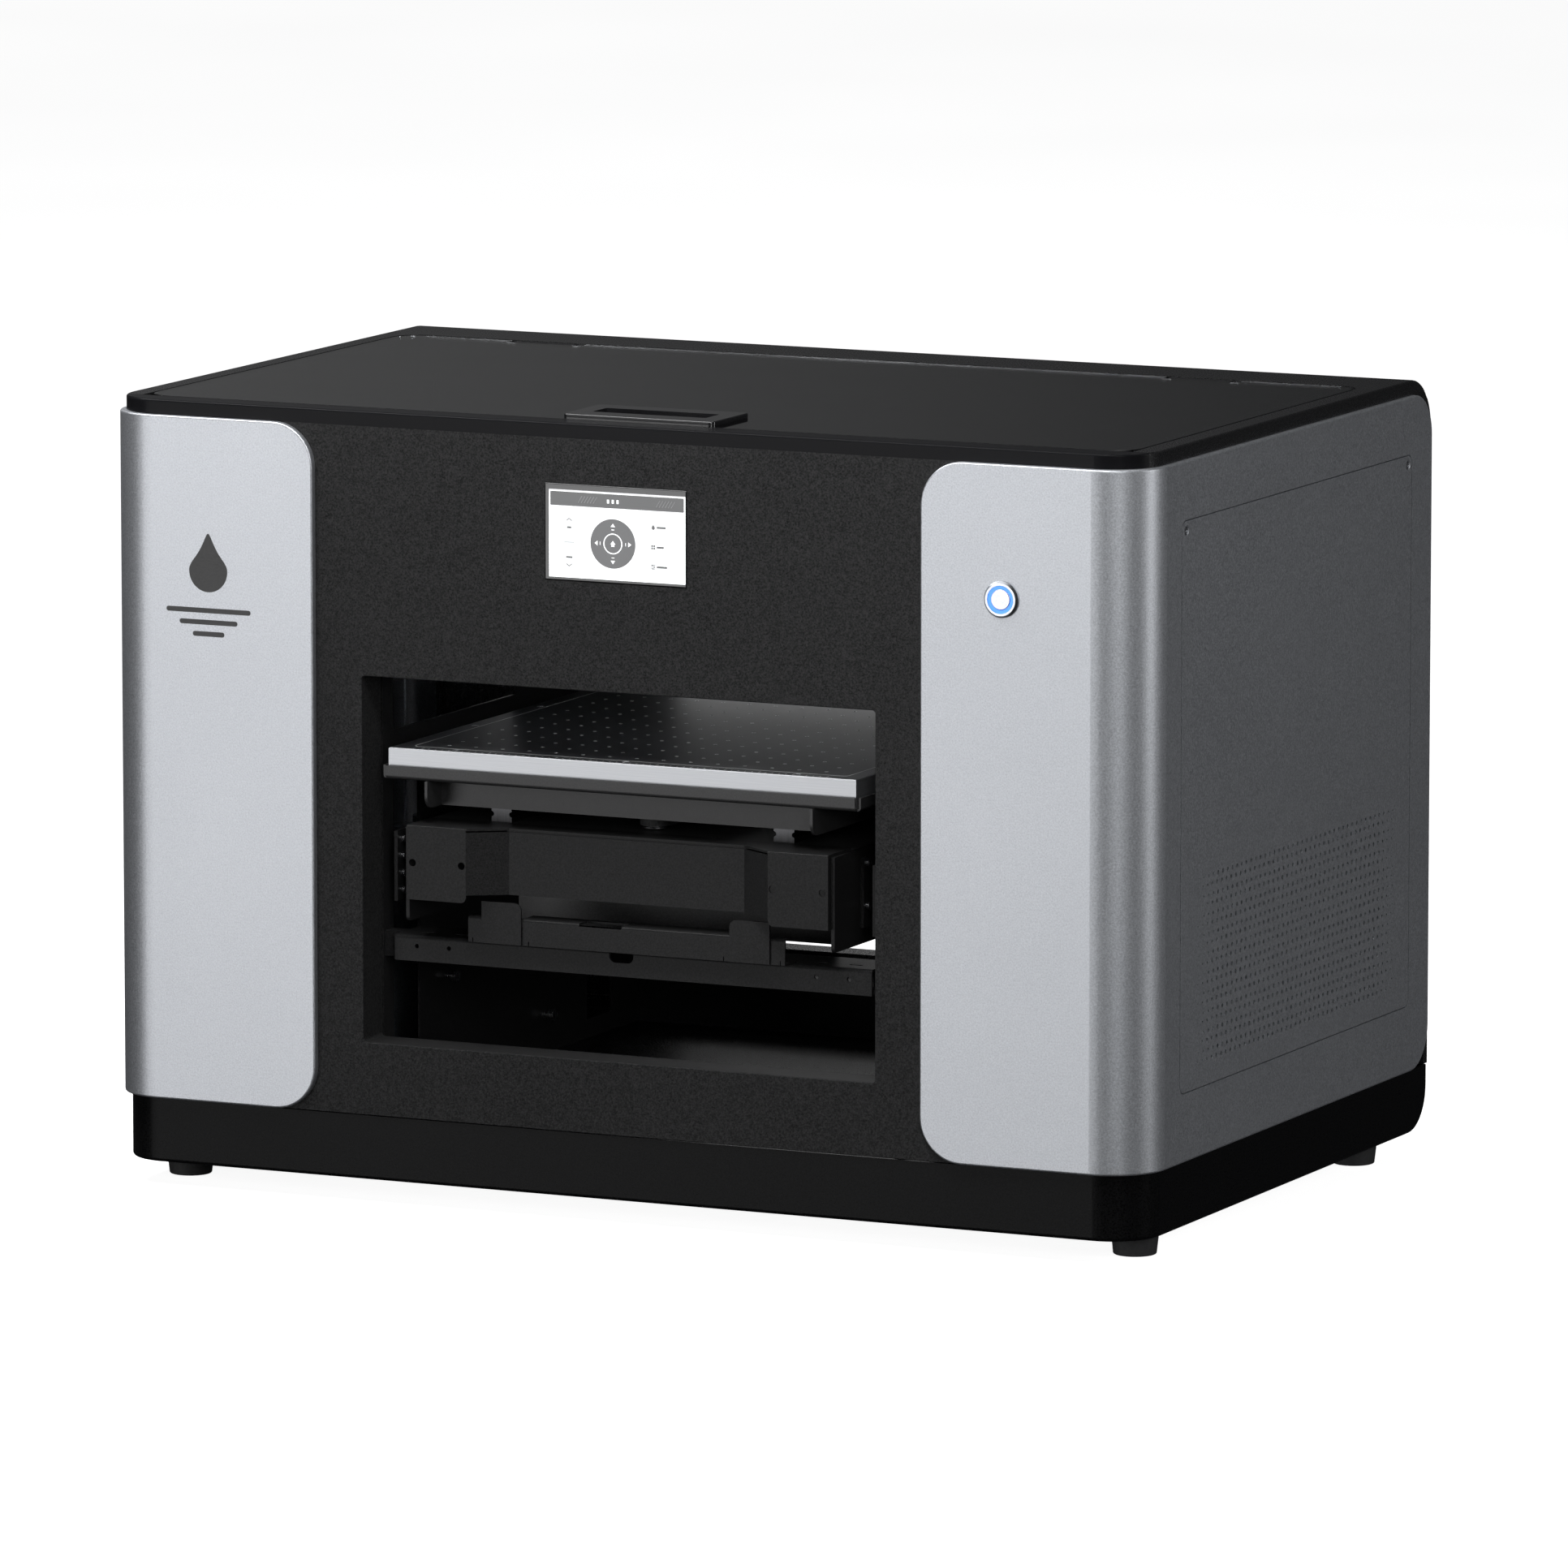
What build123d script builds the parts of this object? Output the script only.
from build123d import *
import os

os.makedirs("parts", exist_ok=True)

# Driving dimensions, in millimetres -----------------------------------------------------------

width = 770.0              # across the two silver shells
depth = 500.0              # silver front face to black rear face
button_proud = 2.5         # the power button stands this far in front of the silver face
foot_height = 17.0
base_height = 44.0
shadow_gap = 1.0           # between the base tray and the body above it
shell_height = 468.0       # the silver shells
rim_height = 10.0          # the black rim above the shells

front = -(depth - button_proud) / 2
base_z0 = foot_height
base_z1 = base_z0 + base_height
body_z0 = base_z1 + shadow_gap
body_z1 = body_z0 + shell_height
top_z = body_z1 + rim_height


def back(distance):
    """Y of a point this far behind the silver front face."""
    return front + distance


def up(height):
    """Z of a point this far above the lower edge of the silver shells."""
    return body_z0 + height


shell_x = width / 2
shell_wall = 4.5
shell_radius = 38.0        # the upright corner of a shell
shell_inner_x = 224.5      # where a shell ends on the front
shell_corner = 30.0        # the round corners of a shell's outline
shell_depth = 492.3
casing_x = shell_x - 4.0   # half width of the black casing and the base
casing_radius = shell_radius - 4.0
casing_front = shell_wall  # distance of the black front face behind the silver one
sheet = 2.0                # sheet metal

opening_x = 190.0          # half width of the front and rear openings
opening_z0 = up(49.4)
opening_z1 = up(298.8)
flange_depth = 28.0

frame_x0 = 190.3           # inner face of the side frames
frame_x1 = frame_x0 + sheet
frame_y0 = 36.0
frame_y1 = 470.0
frame_top = up(443)
slot_front = (51.0, 90.6)  # where the lift arms pass through the side frames
slot_rear = (348.0, 388.0)
slot_z = (up(12), up(243))
arm_y = (70.8, 368.0)      # the middle of each slot
screw_x = 222.0            # lead screws and guide rods
screw_radius = 5.0
rod_radius = 6.0
running = 0.05             # radial clearance of a running fit

bed_x = 173.2
bed_y = (11.0, 441.0)
bed_top = up(250.6)
bed_hole_pitch = 20.0
tray_x = 176.9
tray_y = (7.5, 444.5)
tray_z = (up(229.7), up(238.7))
leg_x = 143.8
leg_z = (up(211.3), up(229.7))

cover_x = 156.2            # half width of the lift's front cover
cover_z = (up(149.5), up(200))
cover_recess_z = up(154.8)
side_plate_x = 156.5
side_plate_z = (up(134), up(198))
deck_z = (up(196.5), up(199.5))
lift_end = 462.0

pulley_z = deck_z[1] + 0.8
belt_radius = 9.55         # inside of a belt round its pulleys
belt_wall = 1.4
belt_width = 6.0
pulley_radius = 9.2
flange_radius = 10.6
y_pulley_y = (66.0, 440.0)
x_pulley_x = (-343.0, 343.0)
x_belt_y = 265.0
x_belt_z = up(396)

beam_y = (245.0, 285.0)
beam_z = (up(330), up(390))
carriage_x = 275.0         # the print carriage parks at the right
nozzle_z = up(298.6)
rail_z = up(359)

glass_x = 365.0
glass_y = (25.0, 413.5)
glass_wall = 5.0
glass_radius = 19.0
hinge_x = 250.0
hinge_y = 412.5
hinge_z = top_z - 2.7

button_x = 283.4
button_z = up(378.9)
screen_x = 52.4
screen_z = (up(372.3), up(437.5))

access_y = (62.9, 455.0)
access_z = (up(47), up(428))
access_gap = 0.8
access_wall = 3.0
vent_columns = 43
vent_pairs = 10
vent_pitch = 7.9
vent_row = 6.48
vent_y = 91.8
vent_z = up(64)

SIDES = {"left": -1, "right": 1}


# Shared shapes --------------------------------------------------------------------------------

def block(x, y, z, mode=Mode.ADD):
    """A block between (low, high) in X and Z, and in Y as distances behind the front face."""
    size = (x[1] - x[0], y[1] - y[0], z[1] - z[0])
    with Locations(((x[0] + x[1]) / 2, back((y[0] + y[1]) / 2), (z[0] + z[1]) / 2)):
        Box(*size, mode=mode)


def upright(x, y, z, radius, mode=Mode.ADD):
    """A round bar standing along Z."""
    with Locations((x, back(y), (z[0] + z[1]) / 2)):
        Cylinder(radius, z[1] - z[0], mode=mode)


def along_y(x, y, z, radius, mode=Mode.ADD):
    """A round bar lying along Y."""
    with Locations((x, back((y[0] + y[1]) / 2), z)):
        Cylinder(radius, y[1] - y[0], rotation=(90, 0, 0), mode=mode)


def along_x(x, y, z, radius, mode=Mode.ADD):
    """A round bar lying along X."""
    with Locations(((x[0] + x[1]) / 2, back(y), z)):
        Cylinder(radius, x[1] - x[0], rotation=(0, 90, 0), mode=mode)


def side_span(side, near, far):
    """(low, high) in X of a span from near to far on one side of the machine."""
    return tuple(sorted((SIDES[side] * near, SIDES[side] * far)))


def save(name, part):
    """Labels a finished piece and writes it as its own STEP file."""
    part.label = name
    export_step(part, f"parts/{name}.step")


# Base and feet --------------------------------------------------------------------------------

base_front = 6.0
base_wall = 2.0
base_rear_radius = 30.0
motor_size = 42.3
floor_z = (base_z1 - 2, base_z1)


def base_profile(inset, lift):
    """The base's outline seen from the side, with its round rear bottom corner."""
    y0, y1 = back(base_front) + inset, back(depth) - inset
    z0, z1 = base_z0 + inset, base_z1 + lift
    with BuildSketch(Plane.YZ) as profile:
        with Locations(((y0 + y1) / 2, (z0 + z1) / 2)):
            Rectangle(y1 - y0, z1 - z0)
        corner = profile.vertices().group_by(Axis.X)[-1].sort_by(Axis.Y)[0]
        fillet(corner, base_rear_radius - inset)
    return profile.sketch


with BuildPart() as base_tray:
    extrude(base_profile(0, 0), amount=casing_x, both=True)
    front_corners = base_tray.edges().filter_by(Axis.Z).group_by(Axis.Y)[0]
    fillet(front_corners, casing_radius)
    fillet(base_tray.faces().sort_by(Axis.Z)[0].edges().group_by(Axis.Y)[0], 2.5)
    with BuildPart(mode=Mode.PRIVATE) as pocket:
        extrude(base_profile(base_wall, 1), amount=casing_x - base_wall, both=True)
        pocket_corners = pocket.edges().filter_by(Axis.Z).group_by(Axis.Y)[0]
        fillet(pocket_corners, casing_radius - base_wall)
    add(pocket.part, mode=Mode.SUBTRACT)
    for x in (-345, 0, 345):
        for y in (40, 430):
            upright(x, y, (base_z0 + base_wall, floor_z[0]), 8)
save("base_tray", base_tray.part)

with BuildPart() as feet:
    for x in (-353, 353):
        for y in (63, 436.5):
            with Locations((x, back(y), foot_height / 2)):
                Cone(14.5, 16.5, foot_height)
            upright(x, y, (0, 6), 6, Mode.SUBTRACT)
            upright(x, y, (6, foot_height), 2.2, Mode.SUBTRACT)
    outer_rings = feet.edges().group_by(Axis.Z)[0].filter_by(lambda e: e.radius > 10)
    fillet(outer_rings, 1.2)
save("feet", feet.part)

with BuildPart() as floor_plate:
    block((-377.5, 377.5), (10, 470), floor_z)
    fillet(floor_plate.edges().filter_by(Axis.Z).group_by(Axis.Y)[0], casing_radius - 4)
    for side in SIDES.values():
        upright(side * screw_x, arm_y[0], floor_z, 12, Mode.SUBTRACT)
save("floor_plate", floor_plate.part)


# Front, top and rear of the black casing ----------------------------------------------------------

panel_y = (casing_front, casing_front + 2.5)
opening_size = (2 * opening_x, opening_z1 - opening_z0)
opening_mid_z = (opening_z0 + opening_z1) / 2
rim_front = 24.5


def opening_sleeve(y, wall):
    """A rectangular sleeve round the front or rear opening."""
    with BuildSketch(Plane.XZ.offset(-back(y[0]))) as ring:
        with Locations((0, opening_mid_z)):
            RectangleRounded(opening_size[0] + 2 * wall, opening_size[1] + 2 * wall, 2.5 + wall)
            RectangleRounded(*opening_size, 2.5, mode=Mode.SUBTRACT)
    extrude(ring.sketch, amount=-(y[1] - y[0]))


def opening_hole(y):
    """Cuts the front or rear opening through a panel."""
    with BuildSketch(Plane.XZ.offset(-back(y[0]))) as hole:
        with Locations((0, opening_mid_z)):
            RectangleRounded(*opening_size, 2.5)
    extrude(hole.sketch, amount=-(y[1] - y[0]), mode=Mode.SUBTRACT)


def rounded_casing(y, z):
    """The casing's outline seen from above, round at its front corners."""
    block((-casing_x, casing_x), y, z)
    fillet(edges().filter_by(Axis.Z).group_by(Axis.Y)[0], casing_radius)


with BuildPart() as front_panel:
    rounded_casing((casing_front, rim_front + 60), (body_z1, top_z))
    top_edge = front_panel.faces().sort_by(Axis.Z)[-1].edges()
    fillet(top_edge - top_edge.group_by(Axis.Y)[-1], 1.6)
    block((-casing_x, casing_x), (rim_front, rim_front + 60), (body_z1, top_z), Mode.SUBTRACT)
    flat_x = shell_x - shell_radius
    block((-flat_x, flat_x), panel_y, (body_z0, body_z1))
    opening_hole(panel_y)
    fillet(front_panel.faces().sort_by(Axis.Y)[0].inner_wires()[0].edges(), 0.8)
    opening_sleeve((panel_y[1], casing_front + flange_depth), sheet)
    screen_hole_z = (screen_z[0] - 0.2, screen_z[1] + 0.2)
    block((-screen_x - 0.2, screen_x + 0.2), panel_y, screen_hole_z, Mode.SUBTRACT)
    along_y(button_x, panel_y, button_z, 10, Mode.SUBTRACT)
    block((-340, 340), (12, rim_front), (body_z1 - 1, body_z1 + 6), Mode.SUBTRACT)
save("front_panel", front_panel.part)

ledge_z = top_z - glass_wall - 0.6
rear_radius = 36.0
rim_hole_y = (rim_front, 417.5)
hollow_front = casing_front + casing_radius + 4
rear_split = up(430)
with BuildPart() as top_frame:
    with BuildSketch(Plane.YZ) as hood:
        y0, y1 = back(casing_front), back(depth)
        with Locations(((y0 + y1) / 2, (rear_split + top_z) / 2)):
            Rectangle(y1 - y0, top_z - rear_split)
        fillet(hood.vertices().group_by(Axis.X)[-1].sort_by(Axis.Y)[-1], rear_radius)
    extrude(amount=casing_x, both=True)
    fillet(top_frame.edges().filter_by(Axis.Z).group_by(Axis.Y)[0], casing_radius)
    top_edge = top_frame.faces().sort_by(Axis.Z)[-1].edges()
    fillet(top_edge - top_edge.group_by(Axis.Y)[-1], 1.6)
    block((-casing_x, casing_x), (casing_front, rim_front + 0.1), (rear_split, top_z), Mode.SUBTRACT)
    block((-casing_x, casing_x), (casing_front, hollow_front), (rear_split, body_z1), Mode.SUBTRACT)
    with BuildSketch(Plane.YZ) as hollow:
        y0, y1 = back(hollow_front), back(depth - 3)
        with Locations(((y0 + y1) / 2, (rear_split + top_z - 4) / 2)):
            Rectangle(y1 - y0, top_z - 4 - rear_split)
        fillet(hollow.vertices().group_by(Axis.X)[-1].sort_by(Axis.Y)[-1], rear_radius - 4)
    extrude(amount=casing_x - 3, both=True, mode=Mode.SUBTRACT)
    for side in SIDES:
        beside_shell = side_span(side, shell_x - shell_wall - 0.2, casing_x + 1)
        block(beside_shell, (0, shell_depth + 0.4), (rear_split - 1, body_z1), Mode.SUBTRACT)
    block((-362, 362), (25.2, 440), (body_z1, ledge_z))
    with BuildSketch(Plane.XY.offset(top_z)) as lid_recess:
        x0, y0, y1 = glass_x + 1, back(rim_hole_y[0] - 40), back(rim_hole_y[1])
        with Locations((0, (y0 + y1) / 2)):
            RectangleRounded(2 * x0, y1 - y0, glass_radius + 1)
    extrude(amount=-(top_z - ledge_z), mode=Mode.SUBTRACT)
    with BuildSketch(Plane.XY.offset(ledge_z)) as lid_hole:
        with Locations((0, back(218))):
            RectangleRounded(2 * 350, 364, 12)
    extrude(amount=-20, mode=Mode.SUBTRACT)
    for side in SIDES.values():
        for ear in (-24.5, 24.5):
            ear_x = side * hinge_x + ear
            block((ear_x - 1.5, ear_x + 1.5), (409, 418), (ledge_z, top_z - 0.4))
            along_x((ear_x - 2, ear_x + 2), hinge_y, hinge_z, 1.2, Mode.SUBTRACT)
save("top_frame", top_frame.part)

rear_wall = 2.5
cover_front = shell_depth + 0.4
inlet_x, inlet_z = -290.0, up(36)
port_x, port_z = -225.0, up(36)
with BuildPart() as rear_cover:
    block((-casing_x, casing_x), (cover_front, depth), (up(0), rear_split))
    inside_y = (cover_front, depth - rear_wall)
    block((-casing_x + 3, casing_x - 3), inside_y, (up(3), rear_split), Mode.SUBTRACT)
    opening_hole((depth - rear_wall, depth))
    opening_sleeve((depth - rear_wall - 20, depth - rear_wall), sheet)
    through_y = (depth - 3, depth)
    block((inlet_x - 13.7, inlet_x + 13.7), through_y, (inlet_z - 10, inlet_z + 10), Mode.SUBTRACT)
    block((port_x - 6.2, port_x + 6.2), through_y, (port_z - 5.6, port_z + 5.6), Mode.SUBTRACT)
    with BuildSketch(Plane.XZ.offset(-back(depth))) as rear_slots:
        for slots_x in (-290, 290):
            with Locations((slots_x, up(330))):
                with GridLocations(0, 12, 1, 8):
                    SlotOverall(110, 4)
    extrude(rear_slots.sketch, amount=rear_wall, mode=Mode.SUBTRACT)
save("rear_cover", rear_cover.part)


# Silver shells and their access panels --------------------------------------------------------

def rounded_rectangle_yz(y, z, radius, x, amount, mode):
    """A plate with round corners, lying against a side of the machine."""
    with BuildSketch(Plane.YZ.offset(x)) as outline:
        with Locations((back((y[0] + y[1]) / 2), (z[0] + z[1]) / 2)):
            RectangleRounded(y[1] - y[0], z[1] - z[0], radius)
    extrude(outline.sketch, amount=amount, mode=mode)


with BuildPart() as blank_shell:
    with BuildSketch(Plane.XY.offset(body_z0)):
        with BuildLine():
            corner_x, corner_y = shell_x - shell_radius, back(shell_radius)
            Line((shell_inner_x, back(0)), (corner_x, back(0)))
            RadiusArc((corner_x, back(0)), (shell_x, corner_y), -shell_radius)
            Line((shell_x, corner_y), (shell_x, back(shell_depth)))
            Line((shell_x, back(shell_depth)), (shell_x - shell_wall, back(shell_depth)))
            Line((shell_x - shell_wall, back(shell_depth)), (shell_x - shell_wall, corner_y))
            inner_radius = shell_radius - shell_wall
            RadiusArc((shell_x - shell_wall, corner_y), (corner_x, back(shell_wall)), inner_radius)
            Line((corner_x, back(shell_wall)), (shell_inner_x, back(shell_wall)))
            Line((shell_inner_x, back(shell_wall)), (shell_inner_x, back(0)))
        make_face()
    extrude(amount=shell_height)
    fillet(blank_shell.edges().filter_by(Axis.Y).group_by(Axis.X)[0], shell_corner)
    fillet(blank_shell.edges().filter_by(Axis.X).group_by(Axis.Y)[-1], shell_corner)
    outer_faces = [
        blank_shell.faces().filter_by(Axis.Y).sort_by(Axis.Y)[0],
        blank_shell.faces().filter_by(Axis.X).sort_by(Axis.X)[-1],
    ]
    rim_edges = ShapeList()
    for face in outer_faces:
        for edge in face.edges():
            rise = abs((edge @ 1 - edge @ 0).Z)
            if edge.geom_type != GeomType.LINE or rise < shell_height - 1:
                rim_edges.append(edge)
    corner_arcs = blank_shell.edges().filter_by(GeomType.CIRCLE)
    rim_edges += corner_arcs.filter_by(lambda e: abs(e.radius - shell_radius) < 0.01)
    fillet(rim_edges, 1.5)
    seat = 9.0
    outer_y = (access_y[0] - access_gap, access_y[1] + access_gap)
    outer_z = (access_z[0] - access_gap, access_z[1] + access_gap)
    inner_y = (access_y[0] + seat, access_y[1] - seat)
    inner_z = (access_z[0] + seat, access_z[1] - seat)
    rounded_rectangle_yz(outer_y, outer_z, 6.8, shell_x, -access_wall, Mode.SUBTRACT)
    rounded_rectangle_yz(inner_y, inner_z, 4, shell_x, -shell_wall - 1, Mode.SUBTRACT)
save("left_shell", mirror(blank_shell.part, about=Plane.YZ))

with BuildPart() as right_shell:
    add(blank_shell.part)
    along_y(button_x, (-1, shell_wall + 1), button_z, 9.6, Mode.SUBTRACT)
save("right_shell", right_shell.part)

access_screws = ((70.0, up(421.5)), (448.9, up(421.5)))
fade = (0.45, 0.75, 1.1, 1.35)


def vent_radius(column):
    """The vent holes grow over the first columns at each end of a row."""
    from_end = min(column, vent_columns - 1 - column)
    return fade[from_end] if from_end < len(fade) else 1.5


with BuildPart() as right_access_panel:
    with BuildSketch(Plane.YZ.offset(shell_x - access_wall)) as panel_face:
        with Locations((back((access_y[0] + access_y[1]) / 2), (access_z[0] + access_z[1]) / 2)):
            RectangleRounded(access_y[1] - access_y[0], access_z[1] - access_z[0], 6)
        for column in range(vent_columns):
            spots = []
            for pair in range(vent_pairs):
                z = vent_z + 2 * vent_row * pair
                spots.append((back(vent_y + vent_pitch * column), z + 0.25))
                spots.append((back(vent_y + vent_pitch * (column + 0.24)), z + vent_row - 0.25))
            with Locations(*spots):
                Circle(vent_radius(column), mode=Mode.SUBTRACT)
    extrude(amount=access_wall)
    for y, z in access_screws:
        along_x((shell_x - 4, shell_x + 1), y, z, 1.7, Mode.SUBTRACT)
        with Locations(Location((shell_x - 0.9, back(y), z), (0, 90, 0))):
            Cone(1.7, 3.6, 1.8, mode=Mode.SUBTRACT)
save("right_access_panel", right_access_panel.part)
save("left_access_panel", mirror(right_access_panel.part, about=Plane.YZ))


# Inner frame ----------------------------------------------------------------------------------

window_z = (up(256), up(330), up(430))
window_y = (51.0, 237.0, 290.0)
bolt_places = ((131.4, up(76)), (281.5, up(26)), (420.0, up(180)), (131.4, up(225)))

for side, sign in SIDES.items():
    plate_x = side_span(side, frame_x0, frame_x1)
    with BuildPart() as side_frame:
        block(plate_x, (frame_y0, frame_y1), (base_z1, frame_top))
        for slot in (slot_front, slot_rear):
            block(plate_x, slot, slot_z, Mode.SUBTRACT)
        block(plate_x, (window_y[0], window_y[1]), (window_z[0], window_z[2]), Mode.SUBTRACT)
        block(plate_x, (window_y[1] - 1, window_y[2]), (window_z[1], window_z[2]), Mode.SUBTRACT)
        block(side_span(side, frame_x0, frame_x0 + 20), (frame_y0, frame_y1), (frame_top - sheet, frame_top))
        block(side_span(side, frame_x0, frame_x0 + 20), (100, 340), (base_z1, base_z1 + sheet))
        for y in arm_y:
            bore = screw_radius + running if y == arm_y[0] else rod_radius
            tab_x = side_span(side, frame_x1 - 1, screw_x + 16)
            block(tab_x, (y - 18, y + 18), (slot_z[1] + 2, slot_z[1] + 10))
            upright(sign * screw_x, y, (slot_z[1], slot_z[1] + 12), bore, Mode.SUBTRACT)
    save(f"side_frame_{side}", side_frame.part)

with BuildPart() as frame_screws:
    for side in SIDES:
        for y, z in bolt_places:
            along_x(side_span(side, frame_x0 - 4, frame_x0), y, z, 2.2)
            along_x(side_span(side, frame_x0 - 8, frame_x0 - 4), y, z, 3.8)
    for side, sign in SIDES.items():
        for y, z in access_screws:
            along_x(side_span(side, shell_x - access_wall, shell_x - 1.8), y, z, 1.6)
            with Locations(Location((sign * (shell_x - 1.15), back(y), z), (0, sign * 90, 0))):
                Cone(1.6, 2.9, 1.3)
            slot_x = side_span(side, shell_x - 1.1, shell_x)
            block(slot_x, (y - 1.5, y + 1.5), (z - 0.4, z + 0.4), Mode.SUBTRACT)
            block(slot_x, (y - 0.4, y + 0.4), (z - 1.5, z + 1.5), Mode.SUBTRACT)
save("frame_screws", frame_screws.part)

crossbeam_x = 177.4
crossbeam_z = (up(103.4), up(121))
with BuildPart() as crossbeams:
    block((-crossbeam_x, crossbeam_x), (27, 67), crossbeam_z)
    fillet(crossbeams.edges().filter_by(Axis.X).group_by(Axis.Z)[-1].sort_by(Axis.Y)[0], 3)
    under_z = (crossbeam_z[0] - 1, crossbeam_z[1] - sheet)
    block((-crossbeam_x, crossbeam_x), (29, 67), under_z, Mode.SUBTRACT)
    for side in SIDES:
        block(side_span(side, crossbeam_x - 4, frame_x0), (38, 50), crossbeam_z)
    for x in (-160.7, -136.6, 136.6, 160.7):
        along_y(x, (26, 30), up(113.6), 1.6, Mode.SUBTRACT)
    with BuildSketch(Plane.XY.offset(crossbeam_z[1] - sheet)) as beam_slots:
        with Locations(*[(x, back(42)) for x in (-159, -134, 134, 159)]):
            SlotOverall(10, 3)
    extrude(amount=sheet, mode=Mode.SUBTRACT)
    with BuildSketch(Plane.XZ.offset(-back(26))) as access_slot:
        with Locations((-7.5, up(117.3))):
            SlotOverall(18, 9)
    extrude(amount=-4, mode=Mode.SUBTRACT)
    block((-frame_x0, frame_x0), (430, 466), (base_z1, up(36)))
    block((-frame_x0, frame_x0), (432, 464), (base_z1 - 1, up(34)), Mode.SUBTRACT)
save("crossbeams", crossbeams.part)

with BuildPart() as lift_guard:
    guard_z = (up(121), up(139))
    block((-117.7, 117.7), (18.5, 36), guard_z)
    fillet(lift_guard.edges().filter_by(Axis.X).group_by(Axis.Z)[-1].sort_by(Axis.Y)[0], 2.5)
    block((-118, 118), (20, 40), (guard_z[0] + 1.5, guard_z[1] - 1.5), Mode.SUBTRACT)
    for side in SIDES:
        block(side_span(side, 77.3, 118), (22, 37), (guard_z[1] - 2, guard_z[1] + 1), Mode.SUBTRACT)
    block((-34.9, -3.4), (17, 31), (guard_z[1] - 2.2, guard_z[1] + 1), Mode.SUBTRACT)
    for side, sign in SIDES.items():
        with BuildSketch(Plane.XZ.offset(-back(17))) as ear:
            with Locations((sign * 92.2, up(135.4))):
                Rectangle(29.5, 28.4)
            upper = ear.vertices().group_by(Axis.Y)[-1].sort_by(lambda v: abs(v.X))
            fillet(upper[0], 5)
            fillet(upper[1], 5)
        extrude(ear.sketch, amount=-1.5)
        for x in (72.5, 114.3):
            block((sign * x - 0.4, sign * x + 0.4), (18, 21), (guard_z[0], guard_z[0] + 3), Mode.SUBTRACT)
save("lift_guard", lift_guard.part)

for side, sign in SIDES.items():
    x = sign * screw_x
    with BuildPart() as lead_screw:
        upright(x, arm_y[0], (base_z1 - 10, base_z1 + 8), 4)
        upright(x, arm_y[0], (base_z1 + 8, slot_z[1] + 14), screw_radius)
    save(f"lead_screw_{side}", lead_screw.part)

with BuildPart() as lift_motors:
    half = motor_size / 2
    for sign in SIDES.values():
        x = sign * screw_x
        block((x - half, x + half), (arm_y[0] - half, arm_y[0] + half), (base_z0 + 3, floor_z[0]))
    chamfer(lift_motors.edges().filter_by(Axis.Z), 4)
    for sign in SIDES.values():
        x = sign * screw_x
        upright(x, arm_y[0], (floor_z[0], base_z1 - 0.5), 11)
        upright(x, arm_y[0], (base_z1 - 11, base_z1), 4 + running, Mode.SUBTRACT)
save("lift_motors", lift_motors.part)

with BuildPart() as guide_rods:
    for sign in SIDES.values():
        upright(sign * screw_x, arm_y[1], (base_z1, slot_z[1] + 14), rod_radius)
save("guide_rods", guide_rods.part)


# Lift: rises and falls on the lead screws --------------------------------------------------------

def cover_outline(inset):
    """Plan of the lift's front cover: two blocks with a bevelled recess between them."""
    y0, y1, far = back(3.7 + inset), back(19.5 + inset), back(40)
    slope = 0.36 * inset
    points = [(-cover_x + inset, y0), (-112 - slope, y0), (-87.3 - slope, y1)]
    mirrored = [(-x, y) for x, y in reversed(points)]
    return [(-cover_x + inset, far), *points, *mirrored, (cover_x - inset, far)]


with BuildPart() as lift_cover:
    with BuildSketch(Plane.XY.offset(cover_z[0])):
        with BuildLine():
            Polyline(*cover_outline(0), close=True)
        make_face()
    extrude(amount=cover_z[1] - cover_z[0])
    with BuildSketch(Plane.XY.offset(cover_z[0])):
        with BuildLine():
            Polyline(*cover_outline(1.5), close=True)
        make_face()
    extrude(amount=cover_z[1] - cover_z[0] - 1.5, mode=Mode.SUBTRACT)
    front_edge = lift_cover.edges().filter_by(Axis.X).group_by(Axis.Z)[-1].group_by(Axis.Y)[0]
    fillet(front_edge, 1.2)
    block((-112, 112), (2, 41), (cover_z[0] - 1, cover_recess_z), Mode.SUBTRACT)
    block((-112, 112), (2, 20.3), (cover_z[1] - 2.6, cover_z[1] - 1.5), Mode.SUBTRACT)
    lower_corners = lift_cover.edges().filter_by(Axis.Y).group_by(Axis.Z)[0]
    fillet(lower_corners.filter_by(lambda e: abs(abs(e.center().X) - 112) < 1), 4)
    for x in (-152.1, -115.4, 115.4, 152.1):
        along_y(x, (3, 6), up(174.5), 2.6, Mode.SUBTRACT)
save("lift_cover", lift_cover.part)

with BuildPart() as lift_sides:
    for side in SIDES:
        block(side_span(side, side_plate_x, side_plate_x + 2.5), (8, lift_end), side_plate_z)
    fillet(lift_sides.edges().filter_by(Axis.X).group_by(Axis.Z)[0].group_by(Axis.Y)[0], 3)
    for side in SIDES:
        block(side_span(side, side_plate_x - 12, side_plate_x), (44, 440), (deck_z[0] - 2, deck_z[0]))
save("lift_sides", lift_sides.part)

with BuildPart() as lift_deck:
    block((-side_plate_x, side_plate_x), (40.2, lift_end), deck_z)
    upright(0, y_pulley_y[0], deck_z, 6, Mode.SUBTRACT)
    block((-119, 119), (98, 100.5), (up(123.5), deck_z[0]))
    upright(0, y_pulley_y[1], (deck_z[0] - 2, pulley_z + 9.8), 2.5)
save("lift_deck", lift_deck.part)

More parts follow.
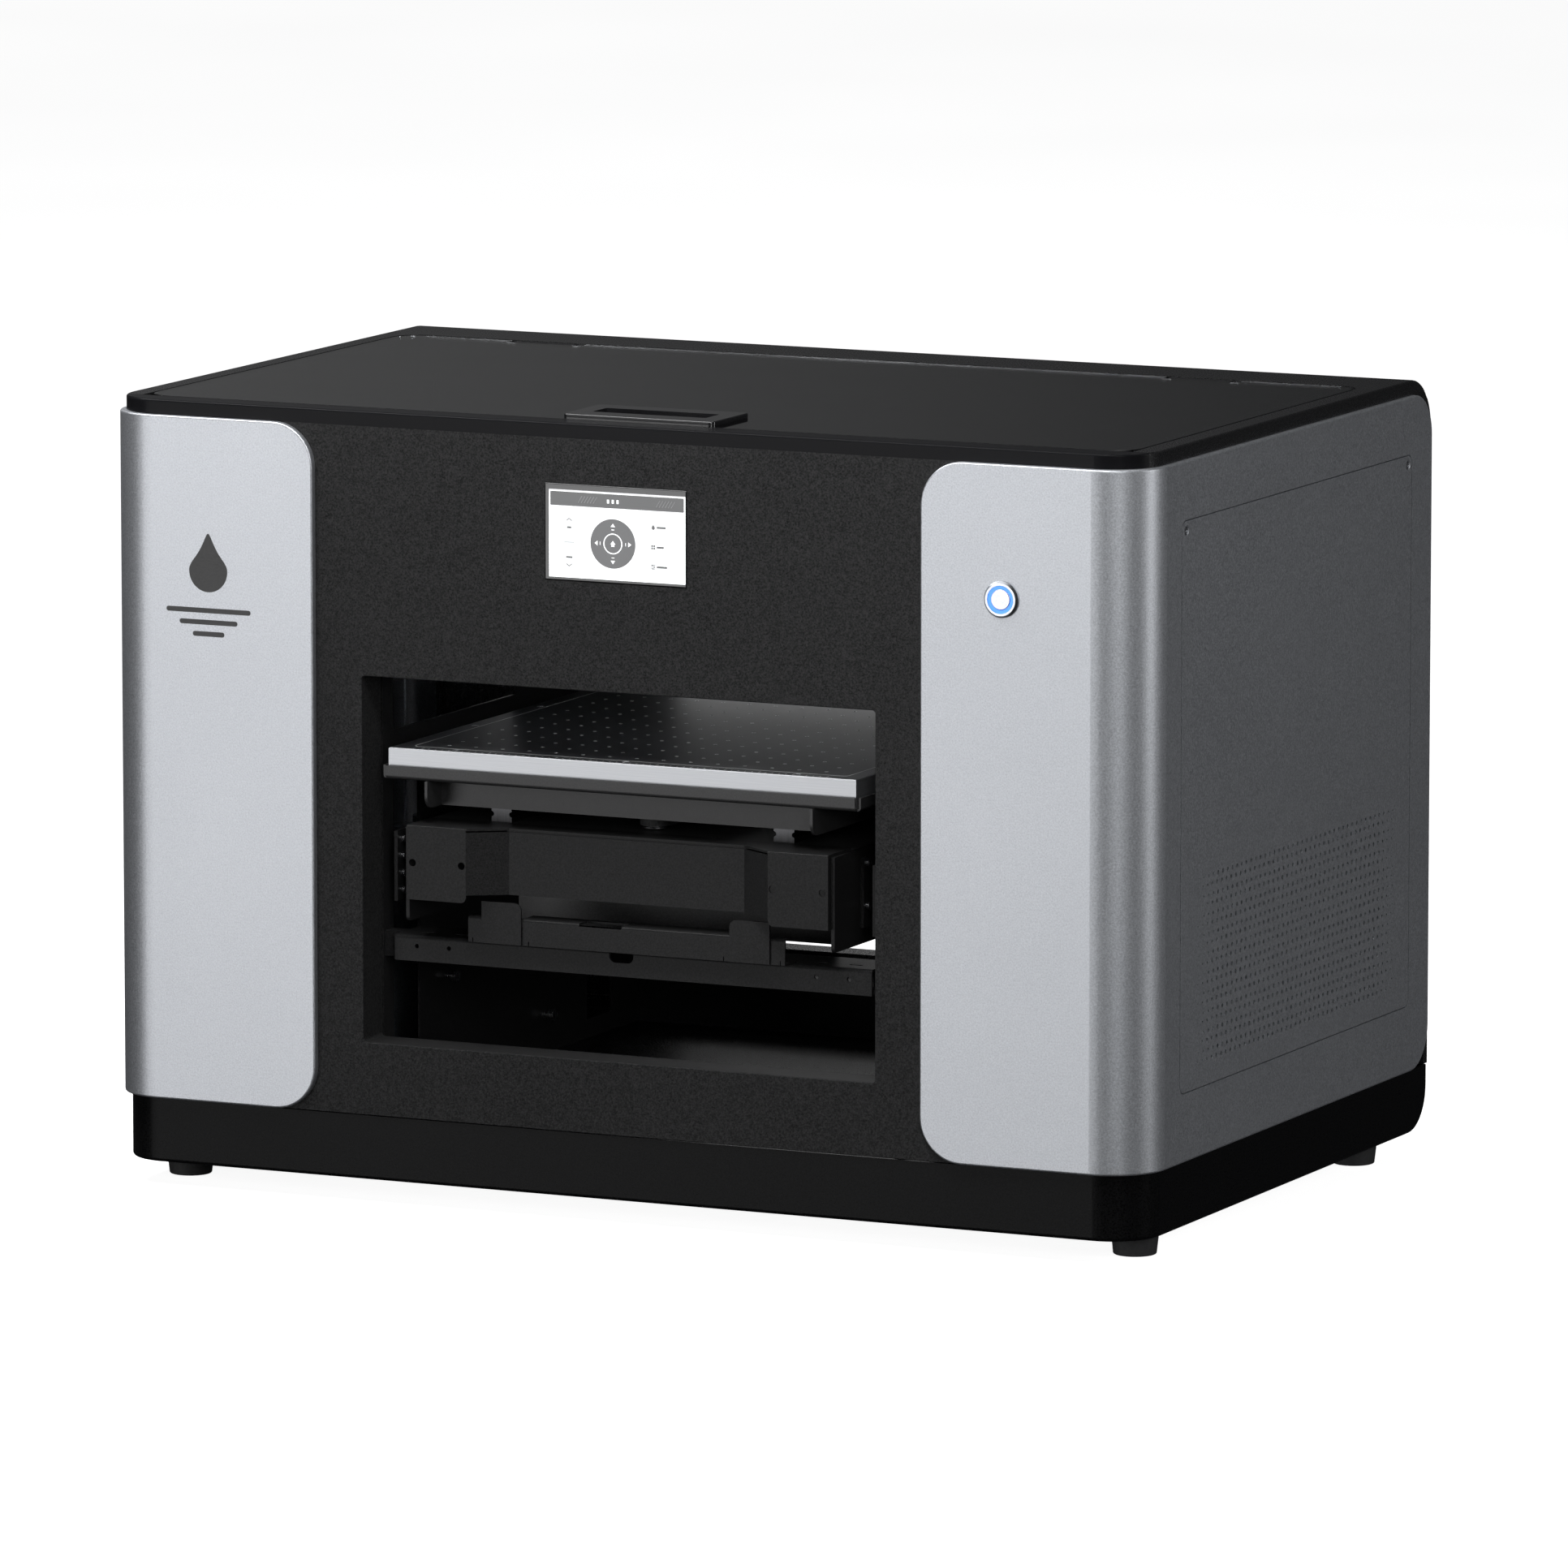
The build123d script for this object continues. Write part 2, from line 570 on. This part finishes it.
with BuildPart() as lift_arms:
    for side, sign in SIDES.items():
        for y in arm_y:
            reach = side_span(side, side_plate_x + 2.5, screw_x - 12)
            block(reach, (y - 6, y + 6), (up(150), up(180)))
            hub = side_span(side, screw_x - 15, screw_x + 15)
            block(hub, (y - 15, y + 15), (up(148), up(182)))
            bore = (screw_radius if y == arm_y[0] else rod_radius) + running
            upright(sign * screw_x, y, (up(140), up(190)), bore, Mode.SUBTRACT)
            flange = side_span(side, side_plate_x + 2.5, side_plate_x + 5)
            block(flange, (y - 22, y + 22), (up(145), up(192)))
        end_plate = side_span(side, 176.5, 179)
        block(end_plate, (30, arm_y[0] - 4), (up(143), up(191)))
save("lift_arms", lift_arms.part)

with BuildPart() as lift_screws:
    for side, sign in SIDES.items():
        head = side_span(side, side_plate_x + 5, side_plate_x + 7)
        for y in arm_y:
            for dy in (-16, 16):
                for z in (up(159), up(188)):
                    along_x(head, y + dy, z, 2.6)
        inner_head = side_span(side, 174.5, 176.5)
        for row in range(4):
            along_x(inner_head, 38, up(149.5 + 11.7 * row), 2.4)
save("lift_screws", lift_screws.part)

rail_x = 105.0
rail_top = deck_z[1] + 10
with BuildPart() as bed_rails:
    for sign in SIDES.values():
        x = sign * rail_x
        block((x - 7.5, x + 7.5), (44, 456), (deck_z[1], rail_top))
        for edge_x in (x - 7.5, x + 7.5):
            along_y(edge_x, (44, 456), deck_z[1] + 5.5, 1.8, Mode.SUBTRACT)
        for y in range(70, 440, 60):
            upright(x, y, (rail_top - 4, rail_top), 3.7, Mode.SUBTRACT)
save("bed_rails", bed_rails.part)

with BuildPart() as bed_motor:
    y = y_pulley_y[0]
    block((-21.1, 21.1), (y - 21.1, y + 21.1), (deck_z[0] - 38, deck_z[0]))
    chamfer(bed_motor.edges().filter_by(Axis.Z), 4)
    upright(0, y, deck_z, 5.5)
    upright(0, y, (deck_z[1], deck_z[1] + 10.4), 2.5)
save("bed_motor", bed_motor.part)


def belt_pulley(x, y, z, bore):
    """A toothed pulley with two flanges, turning about an upright shaft; z is its lowest face."""
    upright(x, y, (z, z + 1), flange_radius)
    upright(x, y, (z + 1, z + 8.4), pulley_radius)
    upright(x, y, (z + 8.4, z + 9.4), flange_radius)
    with Locations((x, back(y), z + 4.7)):
        with PolarLocations(pulley_radius, 32):
            Box(0.9, 0.9, 7.4, mode=Mode.SUBTRACT)
    upright(x, y, (z - 1, z + 11), bore, Mode.SUBTRACT)


for name, y in (("bed_drive_pulley", y_pulley_y[0]), ("bed_idler_pulley", y_pulley_y[1])):
    with BuildPart() as bed_pulley:
        belt_pulley(0, y, pulley_z, 2.5 + running)
    save(name, bed_pulley.part)


def belt_loop(ends, across, z, along):
    """A closed belt round two upright pulleys whose centres lie along X or Y."""
    length = ends[1] - ends[0]
    middle = (ends[0] + ends[1]) / 2
    centre = (middle, back(across)) if along == "x" else (across, back(middle))
    turn = 0 if along == "x" else 90
    outer = 2 * (belt_radius + belt_wall)
    inner = 2 * belt_radius
    with BuildSketch(Plane.XY.offset(z)) as loop:
        with Locations(centre):
            SlotOverall(length + outer, outer, rotation=turn)
            SlotOverall(length + inner, inner, rotation=turn, mode=Mode.SUBTRACT)
    extrude(loop.sketch, amount=belt_width)


with BuildPart() as bed_belt:
    belt_loop(y_pulley_y, 0, pulley_z + 1.7, "y")
save("bed_belt", bed_belt.part)


# Bed: slides in and out on the lift --------------------------------------------------------------

block_y = (218.0, 298.0)
with BuildPart() as bed_bearings:
    for sign in SIDES.values():
        x = sign * rail_x
        for y in block_y:
            block((x - 17, x + 17), (y - 25, y + 25), (deck_z[1] + 3.5, leg_z[1] - 2.5))
            block((x - 7.9, x + 7.9), (y - 26, y + 26), (deck_z[1], rail_top + 0.4), Mode.SUBTRACT)
save("bed_bearings", bed_bearings.part)

with BuildPart() as bed_bracket:
    block((-leg_x, leg_x), (27, 430), (leg_z[1] - 2.5, leg_z[1]))
    block((-leg_x, leg_x), (27, 29), (leg_z[0] + 0.2, leg_z[1]))
    for side in SIDES:
        with BuildSketch(Plane.YZ.offset(side_span(side, leg_x, leg_x - sheet)[0])) as leg:
            with Locations((back(218), (leg_z[0] + leg_z[1]) / 2)):
                Rectangle(424, leg_z[1] - leg_z[0])
            fillet(leg.vertices().group_by(Axis.Y)[0], 8)
        extrude(leg.sketch, amount=sheet)
    clamp_x = (belt_radius - 1.8, belt_radius + 3.6)
    block(clamp_x, (250, 266), (pulley_z + 1.2, leg_z[1] - 2.5))
    gap_x = (belt_radius - 0.35, belt_radius + belt_wall + 0.35)
    block(gap_x, (249, 267), (pulley_z, pulley_z + 8.2), Mode.SUBTRACT)
save("bed_bracket", bed_bracket.part)

with BuildPart() as bed_tray:
    block((-tray_x, tray_x), tray_y, tray_z)
    fillet(bed_tray.faces().sort_by(Axis.Z)[0].edges(), 2.5)
    inside_y = (tray_y[0] + 1.5, tray_y[1] - 1.5)
    block((-tray_x + 1.5, tray_x - 1.5), inside_y, (tray_z[0] + 1.5, tray_z[1] + 1), Mode.SUBTRACT)
    for side in SIDES:
        corner_x = side_span(side, tray_x - 3, tray_x)
        for y in ((tray_y[0], tray_y[0] + 3), (tray_y[1] - 3, tray_y[1])):
            block(corner_x, y, (tray_z[0] - 1, tray_z[1] + 1), Mode.SUBTRACT)
save("bed_tray", bed_tray.part)

bed_z0 = tray_z[0] + 1.5
hole_rows = (20, 15)
bed_screw_places = [(-126.6, 19), (0, 19), (126.6, 19), (-126.6, 433), (0, 433), (126.6, 433)]
bed_screw_places += [(x, y) for x in (-165.5, 165.5) for y in (126, 226, 326)]
with BuildPart() as bed_plate:
    block((-bed_x, bed_x), bed_y, (bed_z0, bed_top - 4))
    with BuildSketch(Plane.XY.offset(bed_top - 4)) as bed_face:
        with Locations((0, back((bed_y[0] + bed_y[1]) / 2))):
            Rectangle(2 * bed_x, bed_y[1] - bed_y[0])
            with GridLocations(bed_hole_pitch, bed_hole_pitch, hole_rows[1], hole_rows[0]):
                Circle(0.9, mode=Mode.SUBTRACT)
        with Locations(*[(x, back(y)) for x, y in bed_screw_places]):
            Circle(2.6, mode=Mode.SUBTRACT)
    extrude(amount=4)
    chamfer(bed_plate.faces().sort_by(Axis.Z)[-1].outer_wire().edges(), 0.6)
save("bed_plate", bed_plate.part)

with BuildPart() as bed_screws:
    for x, y in bed_screw_places:
        upright(x, y, (bed_top - 4, bed_top - 0.3), 2.5)
        with BuildSketch(Plane.XY.offset(bed_top - 1.6)) as hexagon:
            with Locations((x, back(y))):
                RegularPolygon(1.3, 6)
        extrude(hexagon.sketch, amount=2, mode=Mode.SUBTRACT)
save("bed_screws", bed_screws.part)


# Print carriage and its drive ---------------------------------------------------------------------

beam_x = (-320.0, 366.0)
with BuildPart() as gantry_beam:
    block(beam_x, beam_y, beam_z)
    for z in (up(345), up(375)):
        block((beam_x[0] - 1, beam_x[1] + 1), (beam_y[1] - 6, beam_y[1] + 1), (z - 4, z + 4), Mode.SUBTRACT)
    hollow_y = (beam_y[0] + 4, beam_y[1] - 9)
    block((beam_x[0] - 1, beam_x[1] + 1), hollow_y, (beam_z[0] + 4, beam_z[1] - 4), Mode.SUBTRACT)
    idler_x = x_pulley_x[1]
    block((idler_x - 14, idler_x + 14), (x_belt_y - 14, x_belt_y + 14), (beam_z[1], beam_z[1] + 3))
    upright(idler_x, x_belt_y, (beam_z[1] + 3, beam_z[1] + 14.4), 2.5)
save("gantry_beam", gantry_beam.part)

with BuildPart() as gantry_rail:
    block((-318, 360), (beam_y[0] - 10, beam_y[0]), (rail_z - 7.5, rail_z + 7.5))
    for z in (rail_z - 7.5, rail_z + 7.5):
        along_x((-319, 361), beam_y[0] - 5.5, z, 1.8, Mode.SUBTRACT)
save("gantry_rail", gantry_rail.part)

with BuildPart() as carriage_motor:
    x = x_pulley_x[0]
    block((x - 21.1, x + 21.1), (x_belt_y - 21.1, x_belt_y + 21.1), (beam_z[1] - 40, beam_z[1]))
    chamfer(carriage_motor.edges().filter_by(Axis.Z), 4)
    block((x - 21.1, -300), (x_belt_y - 20, x_belt_y + 20), (beam_z[1], beam_z[1] + 3))
    upright(x, x_belt_y, (beam_z[1] + 3, beam_z[1] + 14.4), 2.5)
save("carriage_motor", carriage_motor.part)

x_pulley_z = beam_z[1] + 4
for name, x in (("carriage_drive_pulley", x_pulley_x[0]), ("carriage_idler_pulley", x_pulley_x[1])):
    with BuildPart() as carriage_pulley:
        belt_pulley(x, x_belt_y, x_pulley_z, 2.5 + running)
    save(name, carriage_pulley.part)

with BuildPart() as carriage_belt:
    belt_loop(x_pulley_x, x_belt_y, x_pulley_z + 1.7, "x")
save("carriage_belt", carriage_belt.part)

carriage_y = (112.0, 232.0)
with BuildPart() as print_carriage:
    half = 52
    block((carriage_x - half, carriage_x + half), carriage_y, (up(318), up(405)))
    fillet(print_carriage.edges().filter_by(Axis.Z), 6)
    fillet(print_carriage.faces().sort_by(Axis.Z)[-1].edges(), 4)
    block((carriage_x - half + 3, carriage_x + half - 3), (115, 226), (up(317), up(400)), Mode.SUBTRACT)
    block((carriage_x - 30, carriage_x + 30), (228, 243.5), (rail_z - 15, rail_z + 15))
    block((carriage_x - 31, carriage_x + 31), (234.6, 246), (rail_z - 7.9, rail_z + 7.9), Mode.SUBTRACT)
    arm_top = x_pulley_z + 14
    block((carriage_x - 15, carriage_x + 15), (226, 262), (arm_top, arm_top + 3))
    block((carriage_x - 15, carriage_x + 15), (226, 230), (up(400), arm_top + 3))
    run_y = x_belt_y - belt_radius
    block((carriage_x - 8, carriage_x + 8), (run_y - 4, run_y + 2), (x_pulley_z + 1.2, arm_top))
    gap_y = (run_y - belt_wall - 0.35, run_y + 0.35)
    block((carriage_x - 9, carriage_x + 9), gap_y, (x_pulley_z, x_pulley_z + 8.2), Mode.SUBTRACT)
save("print_carriage", print_carriage.part)

with BuildPart() as print_head:
    block((carriage_x - 24, carriage_x + 24), (140, 205), (nozzle_z + 10, up(380)))
    block((carriage_x - 20, carriage_x + 20), (144, 201), (nozzle_z, nozzle_z + 10))
    for row in range(6):
        x = carriage_x - 15 + 6 * row
        block((x - 0.6, x + 0.6), (150, 195), (nozzle_z, nozzle_z + 1), Mode.SUBTRACT)
        upright(x, 150 + 9 * row, (up(380), up(390)), 2)
save("print_head", print_head.part)

with BuildPart() as uv_lamps:
    for sign in SIDES.values():
        x = carriage_x + sign * 38
        block((x - 9, x + 9), (140, 205), (nozzle_z + 4, up(350)))
        for row in range(8):
            y = 144 + 8 * row
            block((x - 9, x + 9), (y, y + 4), (up(330), up(351)), Mode.SUBTRACT)
save("uv_lamps", uv_lamps.part)


# Head care, ink and electronics -------------------------------------------------------------------

cap_z = nozzle_z - 9
with BuildPart() as capping_station:
    block((carriage_x - 34, carriage_x + 34), (128, 216), (cap_z - 36, cap_z - 4))
    block((carriage_x - 28, carriage_x + 28), (134, 210), (cap_z - 22, cap_z), Mode.SUBTRACT)
    for sign in SIDES.values():
        x = carriage_x + sign * 30
        block((x - 4, x + 4), (210, 216), (base_z1, cap_z - 36))
        block((x - 4, x + 4), (128, 134), (base_z1, cap_z - 36))
save("capping_station", capping_station.part)

with BuildPart() as cap_pad:
    block((carriage_x - 24, carriage_x + 24), (140, 205), (cap_z - 20, cap_z - 3))
    block((carriage_x - 22, carriage_x + 22), (142, 203), (cap_z - 3, cap_z))
    block((carriage_x - 19, carriage_x + 19), (145, 200), (cap_z - 5, cap_z), Mode.SUBTRACT)
save("cap_pad", cap_pad.part)

bottle_step = 52
with BuildPart() as ink_bottles:
    for bottle in range(6):
        y = 135 + bottle_step * bottle
        block((-366, -300), (y - 22, y + 22), (base_z1, base_z1 + 120))
    fillet(ink_bottles.edges().filter_by(Axis.Z), 6)
    for bottle in range(6):
        y = 135 + bottle_step * bottle
        upright(-333, y, (base_z1 + 120, base_z1 + 124), 12)
        upright(-333, y, (base_z1 + 124, base_z1 + 142), 15)
save("ink_bottles", ink_bottles.part)

with BuildPart() as power_supply:
    block((250, 365), (225, 440), (base_z1, base_z1 + 50))
    block((251.5, 363.5), (226.5, 438.5), (base_z1 + 1.5, base_z1 + 48), Mode.SUBTRACT)
    with BuildSketch(Plane.XY.offset(base_z1 + 48)) as supply_vents:
        with Locations((307.5, back(332))):
            with GridLocations(12, 30, 7, 5):
                SlotOverall(20, 4, rotation=90)
    extrude(amount=2, mode=Mode.SUBTRACT)
save("power_supply", power_supply.part)

with BuildPart() as control_board:
    board_z = (base_z1 + 70, base_z1 + 190)
    block((300, 302), (232, 352), board_z)
    for y, z in ((250, 95), (285, 95), (320, 95), (250, 150), (300, 150)):
        block((302, 310), (y, y + 16), (base_z1 + z, base_z1 + z + 20))
    for y in (238, 346):
        for z in (board_z[0] + 6, board_z[1] - 6):
            along_x((290, 300), y, z, 3)
    block((288, 290), (228, 356), (base_z1 + 50, base_z1 + 192))
save("control_board", control_board.part)

fan_y, fan_z, fan_size = 170.0, up(125), 80.0
fan_x = (shell_x - 34, shell_x - 9)
with BuildPart() as fan_frame:
    block(fan_x, (fan_y - 40, fan_y + 40), (fan_z - 40, fan_z + 40))
    fillet(fan_frame.edges().filter_by(Axis.X), 5)
    along_x((fan_x[0] - 1, fan_x[1] + 1), fan_y, fan_z, 37.5, Mode.SUBTRACT)
    along_x((fan_x[0], fan_x[0] + 4), fan_y, fan_z, 17)
    for turn in range(4):
        with Locations(Location((fan_x[0] + 1.5, back(fan_y), fan_z), (45 + 90 * turn, 0, 0))):
            with Locations((0, 27.5, 0)):
                Box(3, 24, 5)
    along_x((fan_x[0] + 4, fan_x[0] + 12), fan_y, fan_z, 3)
save("fan_frame", fan_frame.part)

with BuildPart() as fan_rotor:
    along_x((fan_x[0] + 5, fan_x[1] - 2), fan_y, fan_z, 16)
    for blade in range(7):
        with Locations(Location((fan_x[0] + 14, back(fan_y), fan_z), (360 / 7 * blade, 0, 0))):
            with Locations(Location((0, 25, 0), (0, 35, 0))):
                Box(16, 21, 1.6)
    along_x((fan_x[0] + 4, fan_x[0] + 13), fan_y, fan_z, 3 + running, Mode.SUBTRACT)
save("fan_rotor", fan_rotor.part)

with BuildPart() as rear_sockets:
    block((inlet_x - 13.5, inlet_x + 13.5), (depth - 30, depth - 0.5), (inlet_z - 9.8, inlet_z + 9.8))
    mouth_z = (inlet_z - 7.8, inlet_z + 7.8)
    block((inlet_x - 11.5, inlet_x + 11.5), (depth - 16, depth), mouth_z, Mode.SUBTRACT)
    for x in (-7, 0, 7):
        block((inlet_x + x - 2, inlet_x + x + 2), (depth - 17, depth - 5), (inlet_z - 1, inlet_z + 1))
    block((port_x - 6, port_x + 6), (depth - 18, depth - 0.5), (port_z - 5.4, port_z + 5.4))
    block((port_x - 4.5, port_x + 4.5), (depth - 10, depth), (port_z - 4, port_z + 4), Mode.SUBTRACT)
    block((port_x - 3, port_x + 3), (depth - 11, depth - 3), (port_z - 1.6, port_z + 1.6))
save("rear_sockets", rear_sockets.part)


# Lid ------------------------------------------------------------------------------------------

with BuildPart() as lid_glass:
    with BuildSketch(Plane.XY.offset(top_z - glass_wall)) as pane:
        with Locations((0, back((glass_y[0] + glass_y[1]) / 2))):
            RectangleRounded(2 * glass_x, glass_y[1] - glass_y[0], glass_radius)
        for sign in SIDES.values():
            with Locations((sign * hinge_x, back(glass_y[1] - 2))):
                Rectangle(57, 16, mode=Mode.SUBTRACT)
        with Locations((4, back(58))):
            RectangleRounded(88, 26, 3, mode=Mode.SUBTRACT)
    extrude(amount=glass_wall)
    fillet(lid_glass.faces().sort_by(Axis.Z)[-1].outer_wire().edges().group_by(Axis.Y)[0], 0.8)
save("lid_glass", lid_glass.part)

with BuildPart() as lid_handle:
    with BuildSketch(Plane.XY.offset(top_z)) as grip:
        with Locations((4, back(58))):
            RectangleRounded(112, 56, 4)
            RectangleRounded(84, 22, 2, mode=Mode.SUBTRACT)
    extrude(amount=3)
    fillet(lid_handle.faces().sort_by(Axis.Z)[-1].outer_wire().edges(), 1)
    with BuildSketch(Plane.XY.offset(top_z - glass_wall)) as collar:
        with Locations((4, back(58))):
            RectangleRounded(87.4, 25.4, 2.8)
            RectangleRounded(84, 22, 2, mode=Mode.SUBTRACT)
    extrude(amount=glass_wall)
save("lid_handle", lid_handle.part)

with BuildPart() as lid_hinges:
    for sign in SIDES.values():
        x = sign * hinge_x
        block((x - 22, x + 22), (403.5, 411), (top_z - glass_wall, top_z))
        block((x - 22, x + 22), (411, hinge_y), (hinge_z - 2.2, hinge_z + 2.2))
        along_x((x - 22, x + 22), hinge_y, hinge_z, 2.2)
        along_x((x - 23, x + 23), hinge_y, hinge_z, 1.2 + running, Mode.SUBTRACT)
save("lid_hinges", lid_hinges.part)

with BuildPart() as hinge_pins:
    for sign in SIDES.values():
        x = sign * hinge_x
        along_x((x - 26, x + 26), hinge_y, hinge_z, 1.2)
save("hinge_pins", hinge_pins.part)


# Controls -------------------------------------------------------------------------------------

with BuildPart() as touch_screen:
    block((-screen_x, screen_x), (casing_front - 0.4, casing_front + 12), screen_z)
    fillet(touch_screen.faces().sort_by(Axis.Y)[0].edges(), 0.8)
    glass_z = (screen_z[0] + 2, screen_z[1] - 4)
    block((-screen_x + 2.6, screen_x - 0.8), (casing_front - 1, casing_front + 1), glass_z, Mode.SUBTRACT)
save("touch_screen", touch_screen.part)

with BuildPart() as screen_glass:
    glass_z = (screen_z[0] + 2.2, screen_z[1] - 4.2)
    block((-screen_x + 2.8, screen_x - 1), (casing_front + 0.1, casing_front + 1), glass_z)
save("screen_glass", screen_glass.part)

with BuildPart() as button_bezel:
    along_y(button_x, (-button_proud, 0), button_z, 12.25)
    along_y(button_x, (0, 22), button_z, 9.5)
    chamfer(button_bezel.edges().group_by(Axis.Y)[0], 1.4)
    along_y(button_x, (-button_proud - 1, 0.5), button_z, 9.4, Mode.SUBTRACT)
    along_y(button_x, (0, 14), button_z, 7, Mode.SUBTRACT)
save("button_bezel", button_bezel.part)

with BuildPart() as button_light:
    along_y(button_x, (-button_proud + 0.6, 0.5), button_z, 9.4)
    along_y(button_x, (-button_proud, 1), button_z, 7, Mode.SUBTRACT)
save("button_light", button_light.part)

with BuildPart() as power_button:
    along_y(button_x, (-button_proud + 0.3, 9), button_z, 6.93)
    fillet(power_button.edges().group_by(Axis.Y)[0], 0.5)
save("power_button", power_button.part)
